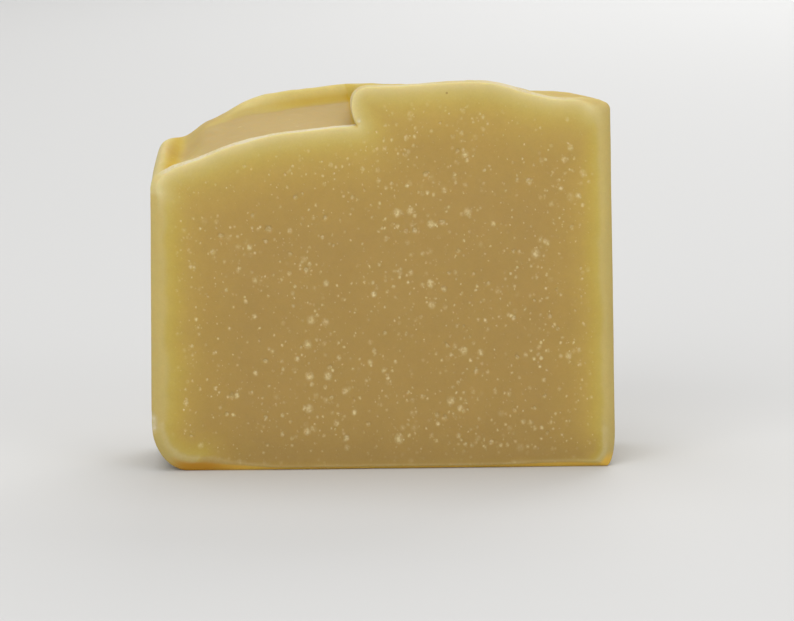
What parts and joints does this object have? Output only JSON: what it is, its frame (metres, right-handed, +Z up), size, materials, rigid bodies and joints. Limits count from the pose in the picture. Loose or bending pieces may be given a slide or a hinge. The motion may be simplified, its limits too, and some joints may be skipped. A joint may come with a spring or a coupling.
{
  "type": "bar of soap",
  "caption": "Upright slice of loaf soap with bevelled cut edges and a hand-sculpted top: a hollow, a ridge, and a fold that overhangs it.",
  "frame": {"origin": "middle of the flat underside", "axes": "+X across the cut face towards the higher side of the top, +Y from the front cut face to the back one, +Z up"},
  "size_m": [0.08, 0.025, 0.0672],
  "materials": {
    "soap": "satin"
  },
  "bodies": {
    "root": {"soap_bar": "soap"}
  },
  "joints": []
}
